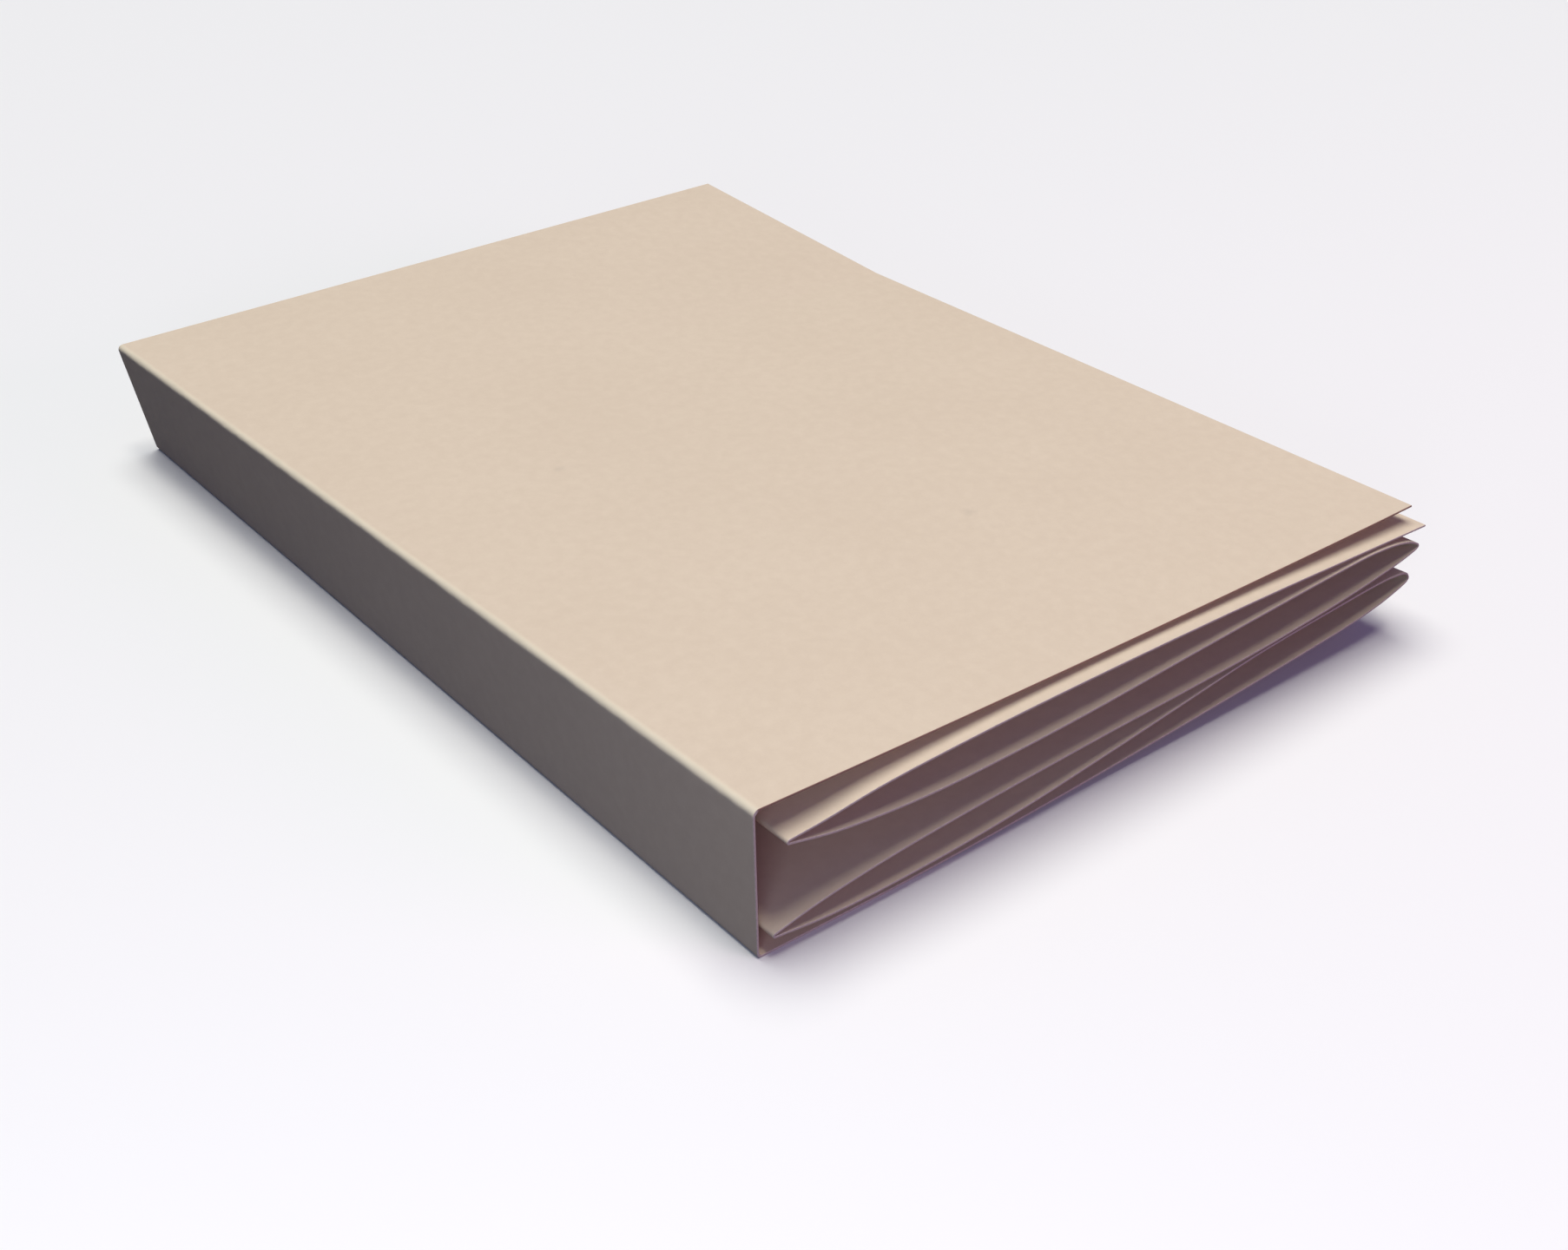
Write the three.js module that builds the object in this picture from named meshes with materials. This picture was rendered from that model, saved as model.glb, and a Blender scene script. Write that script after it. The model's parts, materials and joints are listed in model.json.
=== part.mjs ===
// A boxed accordion album, closed and lying on its back cover.
// One run of heavy card makes it: front cover, spine, back cover and four accordion leaves.
// Millimetres, +Z up. X runs from the spine to the fore edge, Y from the near end to the far end.
// It is shaped from the near end of its outer bottom fold, and then centred over its footprint.

import * as THREE from 'three';

// The card and its panels
const CARD = 0.4;
const PANEL_WIDTH = 152.4;
const ALBUM_LENGTH = 203.2;

// The creases beside the spine are hinges, so their pieces stop short of each other
const HINGE_GAP = 0.3;

// The spine is a little taller at the near end, and leans outwards more at the far end
const SPINE_HEIGHT_NEAR = 26.3;
const SPINE_HEIGHT_FAR = 25.0;
const SPINE_LEAN_NEAR = 1.5;
const SPINE_LEAN_FAR = 5.0;

// Height of the front cover's fore edge above its own fold: near end, where it bends, far end
const COVER_RISE_NEAR = -1.75;
const COVER_RISE_BEND = 0.7;
const COVER_RISE_FAR = 5.9;
const COVER_BEND_FROM_FAR = 62;
const COVER_SAG = 0.7;

// The back cover lifts off the table towards the near fore corner
const FLAT_STRIP = 25;
const CORNER_LIFT = 8.1;
const LIFT_LENGTH = 170;
const LIFT_POWER = 1.5;

// The stack of leaves under the front cover
const LEAF_FORE_FAR = 1.5;
const FOLD_RADIUS = 0.3;
const FOLD_SPREAD = THREE.MathUtils.degToRad(11);
const LOWER_FOLD_INSET = 2.0;
const UPPER_FOLD_INSET = 3.2;

// The leaves lie askew: at the near end their folds and the upper loop stand out from the covers
const LOWER_FOLD_OVERHANG = 1.5;
const UPPER_FOLD_OVERHANG = 2.3;
const UPPER_LOOP_OVERHANG = 0.4;

// How finely the curved card is divided
const LENGTH_STEPS = 10;
const COVER_STEPS = 10;
const BOTTOM_STEPS = 8;
const FOLD_STEPS = 6;
const LEAF_STEPS_PER_POINT = 2;

// Where the leaves pass, as [share of the panel width, share of the stack height]. The height runs
// from the back cover at 0 to the front cover at 1, and the folds by the spine lie between the runs.
const LOWER_LOOP_START_SHARE = 0.86;
const LOWER_FOLD_SHARE = 0.159;
const UPPER_FOLD_SHARE = 0.786;
const LOWER_LOOP_AND_FOURTH_LEAF = [
  [0.911, 0.026],
  [0.956, 0.071],
  [0.988, 0.16],
  [0.982, 0.247],
  [0.954, 0.311],
  [0.914, 0.336],
  [0.843, 0.339],
  [0.77, 0.336],
  [0.69, 0.317],
  [0.594, 0.26],
  [0.459, 0.183],
  [0.322, 0.119],
  [0.192, 0.097],
  [0.082, 0.103],
];
const THIRD_LEAF = [
  [0.062, 0.234],
  [0.151, 0.306],
  [0.271, 0.352],
  [0.442, 0.378],
  [0.592, 0.377],
  [0.693, 0.376],
  [0.767, 0.39],
  [0.844, 0.413],
  [0.919, 0.461],
  [0.97, 0.52],
  [0.99, 0.58],
];
const SECOND_LEAF = [
  [0.98, 0.653],
  [0.95, 0.739],
  [0.896, 0.792],
  [0.826, 0.789],
  [0.697, 0.757],
  [0.558, 0.715],
  [0.419, 0.669],
  [0.299, 0.65],
  [0.189, 0.652],
  [0.08, 0.705],
];
const FIRST_LEAF = [
  [0.06, 0.817],
  [0.13, 0.871],
  [0.22, 0.905],
  [0.34, 0.928],
  [0.51, 0.935],
  [0.7, 0.914],
  [0.86, 0.862],
  [1, 0.796],
];

function lerp(from, to, share) {
  return from + (to - from) * share;
}

// The outer line of the top fold, straight between its two ends. A leaning spine is a little lower.
const TOP_FOLD_NEAR = topFoldEnd(SPINE_HEIGHT_NEAR, SPINE_LEAN_NEAR, 0);
const TOP_FOLD_FAR = topFoldEnd(SPINE_HEIGHT_FAR, SPINE_LEAN_FAR, ALBUM_LENGTH);
const TOP_FOLD_TURN = Math.atan2(SPINE_LEAN_FAR - SPINE_LEAN_NEAR, ALBUM_LENGTH);

function topFoldEnd(height, lean, y) {
  return new THREE.Vector3(-lean, y, Math.sqrt(height ** 2 - lean ** 2));
}

function topFold(y) {
  return TOP_FOLD_NEAR.clone().lerp(TOP_FOLD_FAR, y / ALBUM_LENGTH);
}

// The back cover's underside: flat beside the spine and at the far end, lifted at the near fore corner
function backCoverHeight(x, y) {
  const across = Math.max(0, x - FLAT_STRIP) / (PANEL_WIDTH - FLAT_STRIP);
  const along = Math.max(0, 1 - y / LIFT_LENGTH);
  return CORNER_LIFT * (across * along) ** LIFT_POWER;
}

// How far the front cover's fore edge stands above its fold
function coverRise(y) {
  const bend = ALBUM_LENGTH - COVER_BEND_FROM_FAR;
  if (y < bend) {
    return lerp(COVER_RISE_NEAR, COVER_RISE_BEND, y / bend);
  }
  return lerp(COVER_RISE_BEND, COVER_RISE_FAR, (y - bend) / COVER_BEND_FROM_FAR);
}

// Sag of the front cover between its fold and its fore edge, gone at the far end
function coverSag(across, y) {
  return COVER_SAG * 4 * across * (1 - across) * (1 - y / ALBUM_LENGTH);
}

// The middle of the card at a share of the stack height, between the two covers
function stackPoint(across, share, y) {
  const x = across * PANEL_WIDTH;
  const floor = backCoverHeight(x, y) + CARD / 2;
  const foreRise = lerp(COVER_RISE_NEAR, LEAF_FORE_FAR, y / ALBUM_LENGTH);
  const ceiling = topFold(y).z - CARD / 2 + across * foreRise - coverSag(across, y);
  return new THREE.Vector3(x, y, lerp(floor, ceiling, share));
}

// A pressed fold on the spine side: the card turns back on itself round a small radius
function foldPoints(inset, share, y) {
  const centre = stackPoint(inset / PANEL_WIDTH, share, y);
  const points = [];
  for (let step = 0; step <= FOLD_STEPS; step++) {
    const angle = lerp(1.5 * Math.PI - FOLD_SPREAD, 0.5 * Math.PI + FOLD_SPREAD, step / FOLD_STEPS);
    const offset = new THREE.Vector3(Math.cos(angle), 0, Math.sin(angle));
    points.push(centre.clone().addScaledVector(offset, FOLD_RADIUS));
  }
  return points;
}

// The points of a leaf that lies askew, between a fold by the spine and a loop or edge by the fore edge
function askewPoints(shares, foldOverhang, foreOverhang, y) {
  return shares.map(([across, share]) => {
    return stackPoint(across, share, y - lerp(foldOverhang, foreOverhang, across));
  });
}

// A smooth run of card through the named points, from the end of one fold to the start of the next
function leafRun(before, middle, after) {
  const run = new THREE.CatmullRomCurve3([before, ...middle, ...after]);
  const steps = (run.points.length - 1) * LEAF_STEPS_PER_POINT;
  return run.getPoints(steps).slice(1);
}

// The whole folded sheet along its middle, at one distance from the near end
function accordionCentreline(y) {
  const line = [stackPoint(0, 0, y)];
  const flatShare = FLAT_STRIP / PANEL_WIDTH;
  for (let step = 0; step <= BOTTOM_STEPS; step++) {
    line.push(stackPoint(lerp(flatShare, LOWER_LOOP_START_SHARE, step / BOTTOM_STEPS), 0, y));
  }
  const lowerFold = foldPoints(LOWER_FOLD_INSET, LOWER_FOLD_SHARE, y - LOWER_FOLD_OVERHANG);
  const upperFold = foldPoints(UPPER_FOLD_INSET, UPPER_FOLD_SHARE, y - UPPER_FOLD_OVERHANG);
  const fourth = askewPoints(LOWER_LOOP_AND_FOURTH_LEAF, LOWER_FOLD_OVERHANG, 0, y);
  const third = askewPoints(THIRD_LEAF, LOWER_FOLD_OVERHANG, UPPER_LOOP_OVERHANG, y);
  const second = askewPoints(SECOND_LEAF, UPPER_FOLD_OVERHANG, UPPER_LOOP_OVERHANG, y);
  const first = askewPoints(FIRST_LEAF, UPPER_FOLD_OVERHANG, 0, y);
  line.push(...leafRun(line.at(-1), fourth, [lowerFold[0]]));
  line.push(...lowerFold.slice(1));
  line.push(...leafRun(lowerFold.at(-1), [...third, ...second], [upperFold[0]]));
  line.push(...upperFold.slice(1));
  line.push(...leafRun(upperFold.at(-1), first, []));
  return line;
}

// The closed outline of a strip of card laid half to each side of a line, as seen from the near end
function cardOutline(line) {
  const left = [];
  const right = [];
  line.forEach((point, i) => {
    const before = line[Math.max(0, i - 1)];
    const after = line[Math.min(line.length - 1, i + 1)];
    const along = after.clone().sub(before).setY(0).normalize();
    const across = new THREE.Vector3(-along.z, 0, along.x);
    left.push(point.clone().addScaledVector(across, CARD / 2));
    right.push(point.clone().addScaledVector(across, -CARD / 2));
  });
  return [...right, ...left.reverse()];
}

// A closed body through outlines that run anticlockwise when looked at from the near end: along one
// side of the card and back along the other. Its two ends are closed from side to side.
function loft(outlines) {
  const count = outlines[0].length;
  const positions = outlines.flat().flatMap((point) => point.toArray());
  const index = [];
  for (let row = 0; row < outlines.length - 1; row++) {
    for (let i = 0; i < count; i++) {
      const near = row * count + i;
      const nearNext = row * count + ((i + 1) % count);
      index.push(near, nearNext + count, nearNext, near, near + count, nearNext + count);
    }
  }
  const far = (outlines.length - 1) * count;
  for (let i = 0; i < count / 2 - 1; i++) {
    const [a, b, c, d] = [i, i + 1, count - 2 - i, count - 1 - i];
    index.push(a, b, c, a, c, d);
    index.push(far + a, far + c, far + b, far + a, far + d, far + c);
  }
  const geometry = new THREE.BufferGeometry();
  geometry.setAttribute('position', new THREE.Float32BufferAttribute(positions, 3));
  geometry.setIndex(index);
  geometry.computeVertexNormals();
  return geometry;
}

// One outline for each step along the album
function alongAlbum(outlineAt) {
  const outlines = [];
  for (let step = 0; step <= LENGTH_STEPS; step++) {
    outlines.push(outlineAt((ALBUM_LENGTH * step) / LENGTH_STEPS));
  }
  return outlines;
}

function accordionOutline(y) {
  return cardOutline(accordionCentreline(y));
}

// The spine from just above the back cover to just under the front cover, its outer face on the two folds
function spineOutline(y) {
  const top = topFold(y);
  const outer = (height) => new THREE.Vector3((top.x * height) / top.z, y, height);
  const inner = (height) => outer(height).setX(outer(height).x + CARD);
  const foot = CARD + HINGE_GAP;
  const head = top.z - CARD - HINGE_GAP;
  return [outer(foot), inner(foot), inner(head), outer(head)];
}

// The front cover: square to the top fold in plan, with the outer edge of its upper face on the fold
function frontCoverOutline(y) {
  const squareToFold = new THREE.Vector3(Math.cos(TOP_FOLD_TURN), Math.sin(TOP_FOLD_TURN), 0);
  const upper = [];
  for (let step = 0; step <= COVER_STEPS; step++) {
    const across = step / COVER_STEPS;
    const point = topFold(y).addScaledVector(squareToFold, across * PANEL_WIDTH);
    upper.push(point.setZ(point.z + across * coverRise(y) - coverSag(across, y)));
  }
  const lower = upper.map((point) => point.clone().setZ(point.z - CARD));
  return [...lower, ...upper.reverse()];
}

function cardMaterial(color) {
  return new THREE.MeshStandardMaterial({ color, roughness: 0.85, metalness: 0 });
}

function piece(name, outlineAt, material) {
  const mesh = new THREE.Mesh(loft(alongAlbum(outlineAt)), material);
  mesh.name = name;
  return mesh;
}

const album = new THREE.Group();
album.add(piece('accordion_sheet', accordionOutline, cardMaterial(0xd9c8b6)));
album.add(piece('spine', spineOutline, cardMaterial(0xd6c5b3)));
album.add(piece('front_cover', frontCoverOutline, cardMaterial(0xdccbb9)));

// The origin moves to the middle of the footprint, on the table
const bounds = new THREE.Box3().setFromObject(album);
const middle = bounds.getCenter(new THREE.Vector3());
album.position.set(-middle.x, -middle.y, 0);

export default album;
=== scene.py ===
"""The looks of a boxed accordion album: one run of heavy cream card, folded, closed and lying on a table.

The album's own frame is in millimetres. X runs from the spine to the fore edge, Y from the near end to
the far end and Z up, from the near end of the outer bottom fold. The card's flat position is the third
set of values used here: how far a point lies along the unfolded card, across it, and into its thickness.
"""

import json
import math

import bpy
import numpy as np
from mathutils import Matrix, Vector


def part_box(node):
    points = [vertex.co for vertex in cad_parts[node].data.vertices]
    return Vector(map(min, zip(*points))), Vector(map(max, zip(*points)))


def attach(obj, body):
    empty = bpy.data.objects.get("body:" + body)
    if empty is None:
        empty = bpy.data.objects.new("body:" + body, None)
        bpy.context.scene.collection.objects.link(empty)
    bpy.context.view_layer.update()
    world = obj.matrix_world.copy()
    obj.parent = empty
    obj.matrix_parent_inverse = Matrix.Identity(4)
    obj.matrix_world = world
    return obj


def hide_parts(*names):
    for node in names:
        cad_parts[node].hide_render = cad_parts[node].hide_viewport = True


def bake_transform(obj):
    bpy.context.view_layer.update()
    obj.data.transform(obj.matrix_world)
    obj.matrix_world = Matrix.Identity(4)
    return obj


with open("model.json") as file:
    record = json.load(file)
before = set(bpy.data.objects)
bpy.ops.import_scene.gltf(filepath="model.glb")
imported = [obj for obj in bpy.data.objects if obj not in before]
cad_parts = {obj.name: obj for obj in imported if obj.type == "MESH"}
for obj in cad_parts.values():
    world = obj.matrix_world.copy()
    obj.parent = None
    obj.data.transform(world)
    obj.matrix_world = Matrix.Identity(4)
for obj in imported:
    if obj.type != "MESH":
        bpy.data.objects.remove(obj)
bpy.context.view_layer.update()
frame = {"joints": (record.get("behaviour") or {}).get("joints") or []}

MM = 0.001

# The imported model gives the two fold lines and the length
JOINTS = {joint["name"]: joint for joint in frame["joints"]}
SPINE_LOW, SPINE_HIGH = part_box("spine")
BOTTOM_FOLD = Vector(JOINTS["spine_crease"]["pos_m"])
TOP_FOLD = Vector(JOINTS["cover_crease"]["pos_m"])
TOP_FOLD_AXIS = Vector(JOINTS["cover_crease"]["axis"]).normalized()
ORIGIN = Vector((BOTTOM_FOLD.x, SPINE_LOW.y, 0))
ALBUM_LENGTH = (SPINE_HIGH.y - SPINE_LOW.y) / MM

# The card and its panels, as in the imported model. The spine's height is the mean of its two ends' heights.
CARD = 0.4
PANEL_WIDTH = 152.4
SPINE_HEIGHT = 25.65
COVER_RISE_NEAR = -1.75
COVER_RISE_BEND = 0.7
COVER_RISE_FAR = 5.9
COVER_BEND_FROM_FAR = 62
COVER_SAG = 0.7
FLAT_STRIP = 25
CORNER_LIFT = 8.1
LIFT_LENGTH = 170
LIFT_POWER = 1.5
LEAF_FORE_FAR = 1.5
FOLD_RADIUS = 0.3
FOLD_SPREAD = math.radians(11)
LOWER_FOLD_INSET = 2.0
UPPER_FOLD_INSET = 3.2
LOWER_FOLD_OVERHANG = 1.5
UPPER_FOLD_OVERHANG = 2.3
UPPER_LOOP_OVERHANG = 0.4

# Where the leaves pass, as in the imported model: (share of the panel width, share of the stack height)
LOWER_LOOP_START_SHARE = 0.86
LOWER_FOLD_SHARE = 0.159
UPPER_FOLD_SHARE = 0.786
LOWER_LOOP_AND_FOURTH_LEAF = [
    (0.911, 0.026),
    (0.956, 0.071),
    (0.988, 0.16),
    (0.982, 0.247),
    (0.954, 0.311),
    (0.914, 0.336),
    (0.843, 0.339),
    (0.77, 0.336),
    (0.69, 0.317),
    (0.594, 0.26),
    (0.459, 0.183),
    (0.322, 0.119),
    (0.192, 0.097),
    (0.082, 0.103),
]
THIRD_LEAF = [
    (0.062, 0.234),
    (0.151, 0.306),
    (0.271, 0.352),
    (0.442, 0.378),
    (0.592, 0.377),
    (0.693, 0.376),
    (0.767, 0.39),
    (0.844, 0.413),
    (0.919, 0.461),
    (0.97, 0.52),
    (0.99, 0.58),
]
SECOND_LEAF = [
    (0.98, 0.653),
    (0.95, 0.739),
    (0.896, 0.792),
    (0.826, 0.789),
    (0.697, 0.757),
    (0.558, 0.715),
    (0.419, 0.669),
    (0.299, 0.65),
    (0.189, 0.652),
    (0.08, 0.705),
]
FIRST_LEAF = [
    (0.06, 0.817),
    (0.13, 0.871),
    (0.22, 0.905),
    (0.34, 0.928),
    (0.51, 0.935),
    (0.7, 0.914),
    (0.86, 0.862),
    (1, 0.796),
]

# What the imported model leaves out: rounded folds beside the spine and softened cut edges
BIG_FOLD_RADIUS = 1.0
FOLD_CLEARANCE = 2 * BIG_FOLD_RADIUS
CUT_BEVEL = 0.06
JUST_BESIDE_FOLD = 0.5
SPINE_SEAM_SHARE = 0.5

# How finely the card is divided
LENGTH_STEPS = 84
HEAD_LENGTH_STEPS = 260
SPINE_STEPS = 8
COVER_STEPS = 64
STRIP_STEPS = 12
FLAT_STEPS = 40
FOLD_STEPS = 10
LEAF_STEPS_PER_POINT = 6
SHARP_ANGLE = math.radians(35)

# The top fold is rubbed and a little uneven, more so over the last stretch at its near end
FRAY = 0.07
FRAY_SEED = 5
FRAY_EXTRA_SHARE = 1.5
FRAY_EXTRA_REACH = 1.5


def lerp(start, end, share):
    return start + (end - start) * share


def unit(vectors):
    return vectors / np.linalg.norm(vectors, axis=-1, keepdims=True)


def points(x, y, z):
    """Points from coordinates of any shapes that fit each other."""
    return np.stack(np.broadcast_arrays(x, y, z), axis=-1).astype(float)


def length_rows(steps):
    """Places along the album, with a row just inside each cut end for the edge's bevel."""
    inner = np.linspace(0, ALBUM_LENGTH, steps + 1)[1:-1]
    rows = [0, CUT_BEVEL, *inner, ALBUM_LENGTH - CUT_BEVEL, ALBUM_LENGTH]
    return np.array(rows)[:, None]


def top_fold(y):
    """The outer line of the fold between spine and front cover."""
    start = (TOP_FOLD - ORIGIN) / MM
    slope = TOP_FOLD_AXIS / TOP_FOLD_AXIS.y
    step = y - start.y
    return points(start.x + slope.x * step, y, start.z + slope.z * step)


def cover_rise(y):
    bend = ALBUM_LENGTH - COVER_BEND_FROM_FAR
    before = lerp(COVER_RISE_NEAR, COVER_RISE_BEND, y / bend)
    after = lerp(COVER_RISE_BEND, COVER_RISE_FAR, (y - bend) / COVER_BEND_FROM_FAR)
    return np.where(y < bend, before, after)


def cover_sag(across, y):
    return COVER_SAG * 4 * across * (1 - across) * (1 - y / ALBUM_LENGTH)


def cover_points(across, y):
    """The front cover's upper face. The cover is square to the top fold in plan."""
    turn = math.atan2(TOP_FOLD_AXIS.x, -TOP_FOLD_AXIS.y)
    reach = across * PANEL_WIDTH
    fold = top_fold(y)
    x = fold[..., 0] + reach * math.cos(turn)
    depth = fold[..., 1] + reach * math.sin(turn)
    z = fold[..., 2] + across * cover_rise(y) - cover_sag(across, y)
    return points(x, depth, z)


def back_cover_height(x, y):
    across = np.maximum(0, x - FLAT_STRIP) / (PANEL_WIDTH - FLAT_STRIP)
    along = np.maximum(0, 1 - y / LIFT_LENGTH)
    return CORNER_LIFT * (across * along) ** LIFT_POWER


def stack_points(across, share, y):
    """The middle of the card at a share of the stack height, between the two covers."""
    x = across * PANEL_WIDTH
    floor = back_cover_height(x, y) + CARD / 2
    fore_rise = lerp(COVER_RISE_NEAR, LEAF_FORE_FAR, y / ALBUM_LENGTH)
    ceiling = top_fold(y)[..., 2] - CARD / 2 + across * fore_rise - cover_sag(across, y)
    return points(x, y, lerp(floor, ceiling, share))


def askew_points(shares, fold_overhang, fore_overhang, y):
    """The points of a leaf that lies askew, between its fold and its loop or free edge at the fore edge."""
    across, share = np.array(shares).T
    return stack_points(across, share, y - lerp(fold_overhang, fore_overhang, across))


def pressed_fold(inset, share, y):
    """A leaf's fold on the spine side, where the card turns back on itself."""
    angles = np.linspace(1.5 * math.pi - FOLD_SPREAD, 0.5 * math.pi + FOLD_SPREAD, FOLD_STEPS + 1)
    centre = stack_points(np.array([inset / PANEL_WIDTH]), share, y)
    return centre + FOLD_RADIUS * points(np.cos(angles), 0, np.sin(angles))


def smooth_run(*stretches):
    """A smooth run of card through stretches of points, without its first point."""
    knots = np.concatenate(stretches, axis=1)
    first = 2 * knots[:, :1] - knots[:, 1:2]
    last = 2 * knots[:, -1:] - knots[:, -2:-1]
    padded = np.concatenate([first, knots, last], axis=1)
    gaps = np.sqrt(np.linalg.norm(np.diff(padded, axis=1), axis=-1, keepdims=True))
    chords = np.diff(padded, axis=1) / gaps
    spans = (padded[:, 2:] - padded[:, :-2]) / (gaps[:, 1:] + gaps[:, :-1])
    tangents = chords[:, :-1] - spans + chords[:, 1:]
    middle = gaps[:, 1:-1]
    leaving = tangents[:, :-1] * middle
    arriving = tangents[:, 1:] * middle
    run = []
    for step in range(1, LEAF_STEPS_PER_POINT + 1):
        t = step / LEAF_STEPS_PER_POINT
        run.append(
            knots[:, :-1] * (2 * t**3 - 3 * t**2 + 1)
            + leaving * (t**3 - 2 * t**2 + t)
            + knots[:, 1:] * (3 * t**2 - 2 * t**3)
            + arriving * (t**3 - t**2)
        )
    return np.stack(run, axis=2).reshape(len(knots), -1, 3)


def leaf_centreline(y):
    """The back cover from its flat strip on, and the four leaves, along the middle of the card."""
    flat = np.linspace(FLAT_STRIP / PANEL_WIDTH, LOWER_LOOP_START_SHARE, FLAT_STEPS + 1)
    back_cover = stack_points(flat, 0, y)
    lower = pressed_fold(LOWER_FOLD_INSET, LOWER_FOLD_SHARE, y - LOWER_FOLD_OVERHANG)
    upper = pressed_fold(UPPER_FOLD_INSET, UPPER_FOLD_SHARE, y - UPPER_FOLD_OVERHANG)
    fourth = askew_points(LOWER_LOOP_AND_FOURTH_LEAF, LOWER_FOLD_OVERHANG, 0, y)
    third = askew_points(THIRD_LEAF, LOWER_FOLD_OVERHANG, UPPER_LOOP_OVERHANG, y)
    second = askew_points(SECOND_LEAF, UPPER_FOLD_OVERHANG, UPPER_LOOP_OVERHANG, y)
    first = askew_points(FIRST_LEAF, UPPER_FOLD_OVERHANG, 0, y)
    lower_run = smooth_run(back_cover[:, -1:], fourth, lower[:, :1])
    middle_run = smooth_run(lower[:, -1:], third, second, upper[:, :1])
    top_run = smooth_run(upper[:, -1:], first)
    bevelled_end = lerp(top_run[:, -1:], top_run[:, -2:-1], CUT_BEVEL / 2)
    pressed = [back_cover, lower_run, lower[:, 1:], middle_run, upper[:, 1:]]
    parts = [*pressed, top_run[:, :-1], bevelled_end, top_run[:, -1:]]
    return np.concatenate(parts, axis=1)


def card_faces(line):
    """The two faces of a strip of card laid half to each side of a line in X-Z sections."""
    along = np.empty_like(line)
    along[:, 1:-1] = line[:, 2:] - line[:, :-2]
    along[:, 0] = (1, 0, 0)
    along[:, -1] = line[:, -1] - line[:, -2]
    along[..., 1] = 0
    along = unit(along)
    across = points(-along[..., 2], 0, along[..., 0])
    return line - across * CARD / 2, line + across * CARD / 2


def rounded_fold(corner, first, second):
    """Both faces of a big fold, between two legs that leave its outer corner."""
    half = np.arccos(np.clip((first * second).sum(-1, keepdims=True), -1, 1)) / 2
    centre = corner + unit(first + second) * BIG_FOLD_RADIUS / np.sin(half)
    reach = BIG_FOLD_RADIUS / np.tan(half)
    start = corner + first * reach - centre
    end = corner + second * reach - centre
    swing = math.pi - 2 * half
    outward = np.concatenate(
        [
            (start * np.sin((1 - t) * swing) + end * np.sin(t * swing)) / np.sin(swing)
            for t in np.linspace(0, 1, FOLD_STEPS + 1)
        ],
        axis=1,
    )
    return centre + outward, centre + outward * (1 - CARD / BIG_FOLD_RADIUS)


def leg_steps(first, last, count):
    """Distances from a fold, closer together beside it."""
    return lerp(first, last, np.linspace(0, 1, count + 1) ** 2)


def frayed(y):
    """How far the rubbed top fold stands out or in, most at its near end."""
    rough = np.random.default_rng(FRAY_SEED).normal(size=len(y) + 2)
    smooth = np.convolve(rough, (0.25, 0.5, 0.25), "valid")
    return FRAY * smooth[:, None] * (1 + FRAY_EXTRA_SHARE * np.exp(-y / FRAY_EXTRA_REACH))


def cover_and_spine_head(y):
    """From the middle of the spine over the top fold to the cover's fore edge."""
    fold = top_fold(y)
    foot = points(0, y, 0)
    down = unit(foot - fold)
    to_seam = SPINE_SEAM_SHARE * np.linalg.norm(foot - fold, axis=-1)
    near_fold = cover_points(np.array([JUST_BESIDE_FOLD / PANEL_WIDTH]), y)
    over = unit(near_fold - fold)
    inward = unit(over - (over * down).sum(-1, keepdims=True) * down)
    below = leg_steps(FOLD_CLEARANCE, to_seam, SPINE_STEPS)[:, ::-1]
    spine_outer = fold + down * below[..., None]
    spine_inner = spine_outer + inward * CARD
    fold_outer, fold_inner = rounded_fold(fold, down, over)
    outwards = -unit(down + over)
    rounding = np.sin(np.linspace(0, math.pi, FOLD_STEPS + 1))[:, None]
    uneven = frayed(y)[:, None] * rounding * outwards
    fold_outer += uneven
    fold_inner += uneven
    reach = leg_steps(FOLD_CLEARANCE, PANEL_WIDTH - CUT_BEVEL, COVER_STEPS)
    reach = np.append(reach, PANEL_WIDTH)
    cover_outer = cover_points(reach / PANEL_WIDTH, y)
    cover_inner = cover_outer - np.array([0, 0, CARD])
    around = np.linspace(-BIG_FOLD_RADIUS, BIG_FOLD_RADIUS, FOLD_STEPS + 1)
    flat_below = leg_steps(FOLD_CLEARANCE, SPINE_SEAM_SHARE * SPINE_HEIGHT, SPINE_STEPS)[::-1]
    flat = SPINE_HEIGHT + np.concatenate([-flat_below, around, reach])
    outer = np.concatenate([spine_outer, fold_outer, cover_outer], axis=1)
    inner = np.concatenate([spine_inner, fold_inner, cover_inner], axis=1)
    return outer, inner, flat


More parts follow.
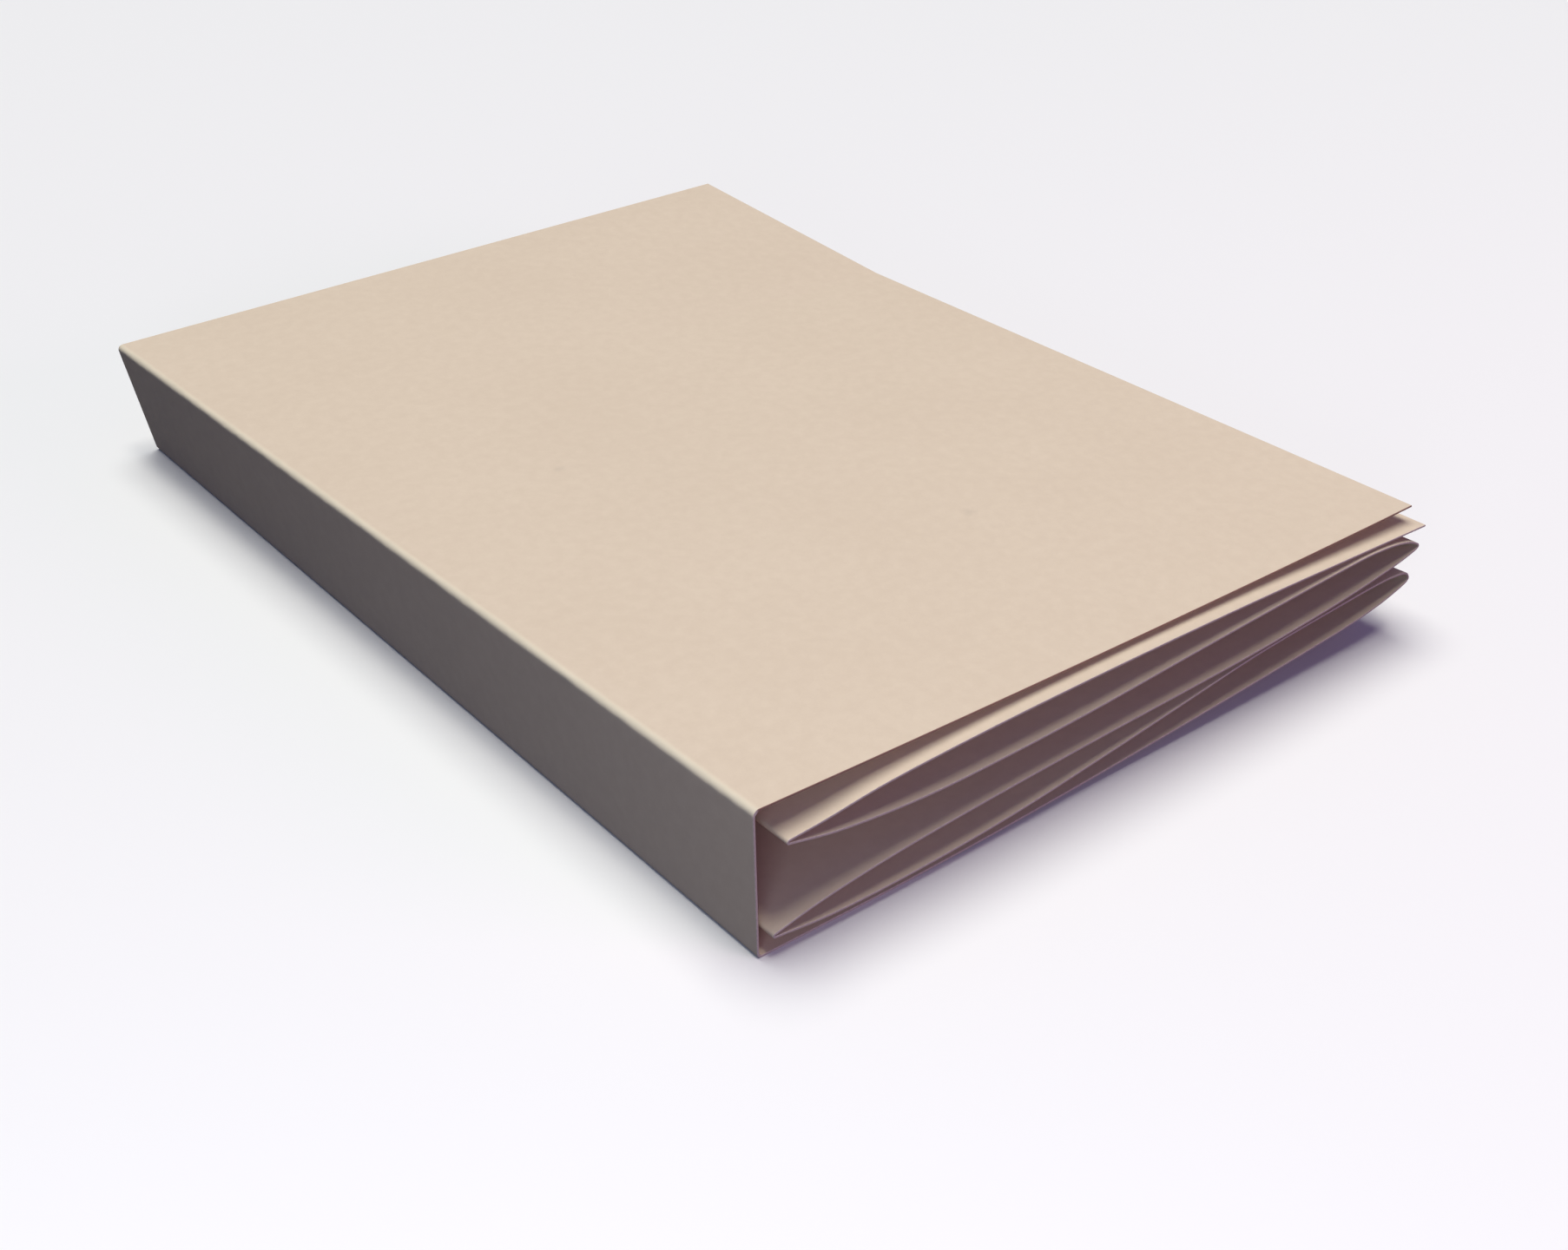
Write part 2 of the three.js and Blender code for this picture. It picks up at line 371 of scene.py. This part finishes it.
def spine_foot_and_back_edge(y):
    """From the middle of the spine round the bottom fold to the back cover's flat strip."""
    foot = points(0, y, 0)
    fold = top_fold(y)
    up = unit(fold - foot)
    to_seam = SPINE_SEAM_SHARE * np.linalg.norm(fold - foot, axis=-1)
    over = points(1, 0 * y, 0)
    inward = unit(over - (over * up).sum(-1, keepdims=True) * up)
    above = leg_steps(FOLD_CLEARANCE, to_seam, SPINE_STEPS)[:, ::-1]
    spine_outer = foot + up * above[..., None]
    spine_inner = spine_outer + inward * CARD
    fold_outer, fold_inner = rounded_fold(foot, up, over)
    beyond = leg_steps(FOLD_CLEARANCE, FLAT_STRIP, STRIP_STEPS)
    strip_outer = points(beyond, y, 0)
    strip_inner = points(beyond, y, CARD)
    around = np.linspace(-BIG_FOLD_RADIUS, BIG_FOLD_RADIUS, FOLD_STEPS + 1)
    flat_above = leg_steps(FOLD_CLEARANCE, SPINE_SEAM_SHARE * SPINE_HEIGHT, SPINE_STEPS)[::-1]
    flat = -np.concatenate([-flat_above, around, beyond])
    outer = np.concatenate([spine_outer, fold_outer, strip_outer], axis=1)
    inner = np.concatenate([spine_inner, fold_inner, strip_inner], axis=1)
    return outer, inner, flat


def back_cover_and_leaves(y):
    """The rest of the back cover and the four leaves."""
    line = leaf_centreline(y)
    outer, inner = card_faces(line)
    steps = np.linalg.norm(np.diff(line, axis=1), axis=-1)[len(line) // 2]
    flat = -FLAT_STRIP - np.concatenate([[0], np.cumsum(steps)])
    return outer, inner, flat


def squeeze(outer, inner, edge):
    """Narrows the card at one edge, so that the faces beside it become the edge's bevel."""
    inset = (inner[edge] - outer[edge]) * CUT_BEVEL / CARD
    outer[edge] += inset
    inner[edge] -= inset


def card_piece(name, shape, materials, free_end, length_steps=LENGTH_STEPS):
    """A closed piece of card. Its ends towards other pieces are square, and its cut edges are bevelled."""
    y = length_rows(length_steps)
    outer, inner, flat = shape(y)
    squeeze(outer, inner, np.s_[:1])
    squeeze(outer, inner, np.s_[-1:])
    if free_end:
        squeeze(outer, inner, np.s_[:, -1:])
    rows, columns = outer.shape[:2]
    count = rows * columns
    grid = np.arange(count).reshape(rows, columns)
    quads = []
    cut = []

    def add(a, b, c, d, is_cut):
        made = np.stack([a, b, c, d], axis=-1).reshape(-1, 4)
        quads.append(made)
        cut.append(np.broadcast_to(is_cut, a.shape).reshape(-1))

    bevels = np.zeros((rows - 1, columns - 1), bool)
    bevels[0] = bevels[-1] = True
    if free_end:
        bevels[:, -1] = True
    corners = [grid[:-1, :-1], grid[1:, :-1], grid[1:, 1:], grid[:-1, 1:]]
    add(*corners, bevels)
    add(*[corner + count for corner in reversed(corners)], bevels)
    near = grid[0]
    far = grid[-1]
    add(near[:-1], near[1:], near[1:] + count, near[:-1] + count, True)
    add(far[1:], far[:-1], far[:-1] + count, far[1:] + count, True)
    start = grid[:, 0]
    end = grid[:, -1]
    add(start[1:], start[:-1], start[:-1] + count, start[1:] + count, False)
    add(end[:-1], end[1:], end[1:] + count, end[:-1] + count, free_end)
    faces = np.concatenate(quads)
    is_cut = np.concatenate(cut)

    corners_at = np.concatenate([outer.reshape(-1, 3), inner.reshape(-1, 3)])
    a, b, c, d = (corners_at[faces[:, i]] for i in range(4))
    volume = np.einsum("ij,ij->", a, np.cross(b, c)) + np.einsum("ij,ij->", a, np.cross(c, d))
    if volume < 0:
        faces = faces[:, ::-1]

    mesh = bpy.data.meshes.new(name)
    placed = corners_at * MM + np.array(ORIGIN)
    mesh.from_pydata(placed.tolist(), [], faces.tolist())
    into = [np.zeros(count), np.full(count, CARD)]
    flat_at = [points(flat, y, 0).reshape(-1, 3)] * 2
    flat_at = np.concatenate(flat_at)
    flat_at[:, 2] = np.concatenate(into)
    attribute = mesh.attributes.new("flat_mm", "FLOAT_VECTOR", "POINT")
    attribute.data.foreach_set("vector", flat_at.astype(np.float32).ravel())
    for material in materials:
        mesh.materials.append(material)
    mesh.polygons.foreach_set("material_index", is_cut.astype(np.int32))
    mesh.polygons.foreach_set("use_smooth", np.ones(len(faces), bool))
    mesh.set_sharp_from_angle(angle=SHARP_ANGLE)
    mesh.update()
    piece = bpy.data.objects.new(name, mesh)
    bpy.context.scene.collection.objects.link(piece)
    return piece


def linear(red, green, blue):
    """A colour from its 0 to 255 screen values."""
    def channel(value):
        value /= 255
        return value / 12.92 if value <= 0.04045 else ((value + 0.055) / 1.055) ** 2.4

    return (channel(red), channel(green), channel(blue), 1)


class Nodes:
    """Short calls for building a node tree."""

    def __init__(self, tree):
        self.tree = tree
        tree.nodes.clear()

    def add(self, kind, settings=None, **inputs):
        made = self.tree.nodes.new(kind)
        for name, value in (settings or {}).items():
            setattr(made, name, value)
        for name, value in inputs.items():
            self.set(made, name.replace("_", " "), value)
        return made

    def set(self, made, name, value):
        socket = made.inputs[int(name) if name.isdigit() else name]
        if isinstance(value, bpy.types.NodeSocket):
            self.tree.links.new(value, socket)
        else:
            socket.default_value = value

    def math(self, operation, first, second=0.0, third=0.0):
        made = self.add("ShaderNodeMath", {"operation": operation})
        for index, value in enumerate((first, second, third)):
            self.set(made, str(index), value)
        return made.outputs[0]

    def noise(self, vector, scale, detail=2.0, roughness=0.5):
        made = self.add(
            "ShaderNodeTexNoise", Vector=vector, Scale=scale, Detail=detail, Roughness=roughness
        )
        return made.outputs["Fac"]

    def stretched(self, vector, scale):
        made = self.add("ShaderNodeVectorMath", {"operation": "MULTIPLY"})
        self.set(made, "0", vector)
        self.set(made, "1", scale)
        return made.outputs[0]

    def ramp(self, value, low, high, to_low=0.0, to_high=1.0):
        made = self.add("ShaderNodeMapRange", {"interpolation_type": "SMOOTHSTEP"}, Value=value)
        for name, number in zip(("From Min", "From Max", "To Min", "To Max"), (low, high, to_low, to_high)):
            self.set(made, name, number)
        return made.outputs["Result"]

    def mix(self, share, first, second):
        made = self.add("ShaderNodeMix", {"data_type": "RGBA"})
        self.set(made, "0", share)
        self.set(made, "6", first)
        self.set(made, "7", second)
        return made.outputs[2]


CARD_PALE = linear(225, 209, 187)
CARD_DEEP = linear(218, 201, 179)
CARD_WORN = linear(236, 226, 202)
CARD_SMUDGED = linear(196, 182, 164)
CUT_PALE = linear(228, 216, 206)
CUT_DEEP = linear(200, 186, 176)
# Painted shade: the darker brown given to the front cover's cut edges
CUT_PAINTED_SHADE = linear(160, 130, 116)

# Faint smudges on the front cover: how far from the top fold and from the near end, and how wide
SMUDGES = ((39.0, 101.9, 1.4), (86.4, 45.7, 1.8))


def card_material():
    """Uncoated card: faint mottling, fibres, paler fibres where the top fold is rubbed, faint smudges."""
    material = bpy.data.materials.new("cream_card")
    material.use_nodes = True
    nodes = Nodes(material.node_tree)
    flat = nodes.add("ShaderNodeAttribute", {"attribute_name": "flat_mm"}).outputs["Vector"]
    mottle = nodes.noise(flat, 0.4, 4.0, 0.6)
    cloud = nodes.noise(flat, 0.03, 2.0)
    fibre = nodes.noise(nodes.stretched(flat, (1.2, 3.5, 3.5)), 1.6, 5.0, 0.65)
    grain = nodes.noise(flat, 9.0, 2.0, 0.6)
    blend = nodes.math("MULTIPLY_ADD", mottle, 0.45, nodes.math("MULTIPLY", cloud, 0.2))
    blend = nodes.math("MULTIPLY_ADD", fibre, 0.3, blend)
    tone = nodes.ramp(blend, 0.3, 0.7)
    color = nodes.mix(tone, CARD_DEEP, CARD_PALE)

    along = nodes.add("ShaderNodeSeparateXYZ", Vector=flat).outputs
    from_top = nodes.math("SUBTRACT", along[0], SPINE_HEIGHT)
    ragged = nodes.math("MULTIPLY_ADD", grain, 0.5, -0.25)
    top_distance = nodes.math("ADD", nodes.math("ABSOLUTE", from_top), ragged)
    worn = nodes.ramp(top_distance, 0.2, 1.6, 0.7, 0.0)
    color = nodes.mix(worn, color, CARD_WORN)
    for reach, depth, width in SMUDGES:
        across = nodes.math("SUBTRACT", from_top, reach)
        beside = nodes.math("SUBTRACT", along[1], depth)
        squares = nodes.math("MULTIPLY_ADD", across, across, nodes.math("MULTIPLY", beside, beside))
        distance = nodes.math("SQRT", squares)
        uneven = nodes.math("MULTIPLY_ADD", mottle, width, distance)
        smudged = nodes.ramp(uneven, 0.4 * width, 1.7 * width, 0.3, 0.0)
        color = nodes.mix(smudged, color, CARD_SMUDGED)

    roughness = nodes.ramp(fibre, 0.3, 0.7, 0.8, 0.92)
    height = nodes.math("MULTIPLY_ADD", fibre, 0.6, nodes.math("MULTIPLY", grain, 0.4))
    bump = nodes.add("ShaderNodeBump", Height=height, Strength=0.35, Distance=0.00004)
    shader = nodes.add(
        "ShaderNodeBsdfPrincipled",
        Base_Color=color,
        Roughness=roughness,
        Normal=bump.outputs["Normal"],
        Specular_IOR_Level=0.25,
    )
    nodes.add("ShaderNodeOutputMaterial", Surface=shader.outputs[0])
    return material


def cut_edge_material():
    """The cut edge: fine streaks along the card's layers, and on the front cover a painted shade that makes
    its cut edges darker and browner.
    """
    material = bpy.data.materials.new("card_cut_edge")
    material.use_nodes = True
    nodes = Nodes(material.node_tree)
    flat = nodes.add("ShaderNodeAttribute", {"attribute_name": "flat_mm"}).outputs["Vector"]
    layers = nodes.noise(nodes.stretched(flat, (1.0, 1.0, 12.0)), 1.5, 4.0, 0.6)
    color = nodes.mix(nodes.ramp(layers, 0.3, 0.7), CUT_DEEP, CUT_PALE)
    along = nodes.add("ShaderNodeSeparateXYZ", Vector=flat).outputs[0]
    # Painted shade: the front cover's cut edges turn darker and browner
    painted_shade_mask = nodes.ramp(along, SPINE_HEIGHT, SPINE_HEIGHT + 1)
    color = nodes.mix(painted_shade_mask, color, CUT_PAINTED_SHADE)
    bump = nodes.add("ShaderNodeBump", Height=layers, Strength=0.4, Distance=0.00003)
    shader = nodes.add(
        "ShaderNodeBsdfPrincipled",
        Base_Color=color,
        Roughness=0.9,
        Normal=bump.outputs["Normal"],
        Specular_IOR_Level=0.2,
    )
    nodes.add("ShaderNodeOutputMaterial", Surface=shader.outputs[0])
    return material


def make_album():
    """The three pieces: the head and foot stay where they are built, and the back cover and leaves ride on
    the accordion body.
    """
    materials = [card_material(), cut_edge_material()]
    head = card_piece("front_cover_and_spine_head", cover_and_spine_head, materials, True, HEAD_LENGTH_STEPS)
    foot = card_piece("spine_foot_and_back_edge", spine_foot_and_back_edge, materials, False)
    leaves = card_piece("back_cover_and_leaves", back_cover_and_leaves, materials, True)
    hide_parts("front_cover", "spine")
    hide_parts("spine", "accordion_sheet")
    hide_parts("accordion_sheet")

    down = Vector((0, 0, -1))
    down = (down - down.project(TOP_FOLD_AXIS)).normalized()
    over = Vector((1, 0, 0))
    over = (over - over.project(TOP_FOLD_AXIS)).normalized()
    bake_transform(head)
    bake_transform(foot)
    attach(leaves, "accordion")


# The photograph's camera in the album's own frame, found from the corners of the spine and front cover
CAMERA_PLACE = (-127.324, -153.946, 173.694)
CAMERA_PITCH = math.radians(30.818)
CAMERA_YAW = math.radians(-40.21)
CAMERA_ROLL = math.radians(1.925)
CAMERA_LENS = 42.851
CAMERA_SENSOR = 36


def make_camera():
    forward = Vector(
        (
            -math.sin(CAMERA_YAW) * math.cos(CAMERA_PITCH),
            math.cos(CAMERA_YAW) * math.cos(CAMERA_PITCH),
            -math.sin(CAMERA_PITCH),
        )
    )
    level_right = Vector((math.cos(CAMERA_YAW), math.sin(CAMERA_YAW), 0))
    level_up = level_right.cross(forward)
    right = math.cos(CAMERA_ROLL) * level_right + math.sin(CAMERA_ROLL) * level_up
    up = -math.sin(CAMERA_ROLL) * level_right + math.cos(CAMERA_ROLL) * level_up
    data = bpy.data.cameras.new("camera")
    data.sensor_fit = "HORIZONTAL"
    data.sensor_width = CAMERA_SENSOR
    data.lens = CAMERA_LENS
    data.clip_start = 0.01
    camera = bpy.data.objects.new("camera", data)
    turned = Matrix((right, up, -forward)).transposed().to_4x4()
    camera.matrix_world = Matrix.Translation(ORIGIN + Vector(CAMERA_PLACE) * MM) @ turned
    bpy.context.scene.collection.objects.link(camera)
    bpy.context.scene.camera = camera


# The floor in metres, how pale it and the backdrop look, and how pale the floor is for light that bounces
FLOOR_SIZE = 6.0
FLOOR_SEEN = 0.93
BACKDROP_SEEN = 0.93
FLOOR_BOUNCE = 0.03

# The light from high up, broad and tilted to the far end, with a weaker part towards the near end
KEY_STRENGTH = 2.28
KEY_COLOR = (1.0, 1.0, 0.925)
KEY_TILT = math.radians(-12)
KEY_SPREAD = math.radians(41)
NEAR_KEY_STRENGTH = 0.5
NEAR_KEY_COLOR = (1.0, 0.97, 0.88)
NEAR_KEY_TILT = math.radians(11.5)
NEAR_KEY_SPREAD = math.radians(11)
SURROUND_COLOR = (0.03, 0.04, 0.12)

# The two soft fills: where they stand, what they face, their width and height, their colour and power
NEAR_FILL = ((0.36, -0.82, 0.3), (0.0, -0.1, 0.01), (0.5, 0.3), (1.0, 0.45, 0.8), 1.3)
SPINE_FILL = ((-0.28, -0.3, 0.135), (-0.075, -0.1, 0.02), (0.12, 0.08), (0.9, 0.95, 1.16), 0.195)


def seen_directly(nodes):
    """1 for what the camera, a reflection or glass sees, and 0 for light that bounces."""
    path = nodes.add("ShaderNodeLightPath").outputs
    seen = nodes.math("MAXIMUM", path["Is Camera Ray"], path["Is Glossy Ray"])
    return nodes.math("MAXIMUM", seen, path["Is Transmission Ray"])


def make_floor():
    """A plain pale floor. It keeps the shadow, and sends back less light than it shows."""
    half = FLOOR_SIZE / 2
    mesh = bpy.data.meshes.new("floor")
    corners = [(-half, -half, 0), (half, -half, 0), (half, half, 0), (-half, half, 0)]
    mesh.from_pydata(corners, [], [(0, 1, 2, 3)])
    floor = bpy.data.objects.new("floor", mesh)
    bpy.context.scene.collection.objects.link(floor)
    material = bpy.data.materials.new("pale_floor")
    material.use_nodes = True
    nodes = Nodes(material.node_tree)
    tone = nodes.ramp(seen_directly(nodes), 0, 1, FLOOR_BOUNCE, FLOOR_SEEN)
    color = nodes.add("ShaderNodeCombineColor", Red=tone, Green=tone, Blue=tone)
    shader = nodes.add("ShaderNodeBsdfDiffuse", Color=color.outputs[0])
    nodes.add("ShaderNodeOutputMaterial", Surface=shader.outputs[0])
    mesh.materials.append(material)


def soft_lamp(name, place, target, size, color, power):
    lamp = bpy.data.lights.new(name, "AREA")
    lamp.shape = "RECTANGLE"
    lamp.size, lamp.size_y = size
    lamp.color = color
    lamp.energy = power
    made = bpy.data.objects.new(name, lamp)
    made.location = place
    made.rotation_euler = (Vector(target) - Vector(place)).to_track_quat("-Z", "Y").to_euler()
    made.visible_camera = False
    made.visible_glossy = False
    bpy.context.scene.collection.objects.link(made)


def soft_sky(name, tilt, spread, color, strength):
    """Light from high up, from the near end's side with a tilt above 0 and the far end's with one below."""
    lamp = bpy.data.lights.new(name, "SUN")
    lamp.energy = strength
    lamp.color = color
    lamp.angle = spread
    above = bpy.data.objects.new(name, lamp)
    above.rotation_euler = (tilt, 0, 0)
    bpy.context.scene.collection.objects.link(above)


def make_light():
    """The two lights from high up, the two dim fills and a dim surround that looks pale to the camera."""
    soft_lamp("near_fill", *NEAR_FILL)
    soft_lamp("spine_fill", *SPINE_FILL)
    soft_sky("overhead", KEY_TILT, KEY_SPREAD, KEY_COLOR, KEY_STRENGTH)
    soft_sky("near_overhead", NEAR_KEY_TILT, NEAR_KEY_SPREAD, NEAR_KEY_COLOR, NEAR_KEY_STRENGTH)

    world = bpy.data.worlds.new("surround")
    bpy.context.scene.world = world
    world.use_nodes = True
    nodes = Nodes(world.node_tree)
    seen = seen_directly(nodes)
    fill = nodes.add("ShaderNodeBackground", Color=(*SURROUND_COLOR, 1), Strength=1.0)
    white = nodes.add("ShaderNodeBackground", Color=(1, 1, 1, 1), Strength=BACKDROP_SEEN)
    mixed = nodes.add("ShaderNodeMixShader")
    nodes.set(mixed, "0", seen)
    nodes.set(mixed, "1", fill.outputs[0])
    nodes.set(mixed, "2", white.outputs[0])
    nodes.add("ShaderNodeOutputWorld", Surface=mixed.outputs[0])


make_camera()
make_album()
make_floor()
make_light()

bpy.context.scene.view_settings.view_transform = "Standard"
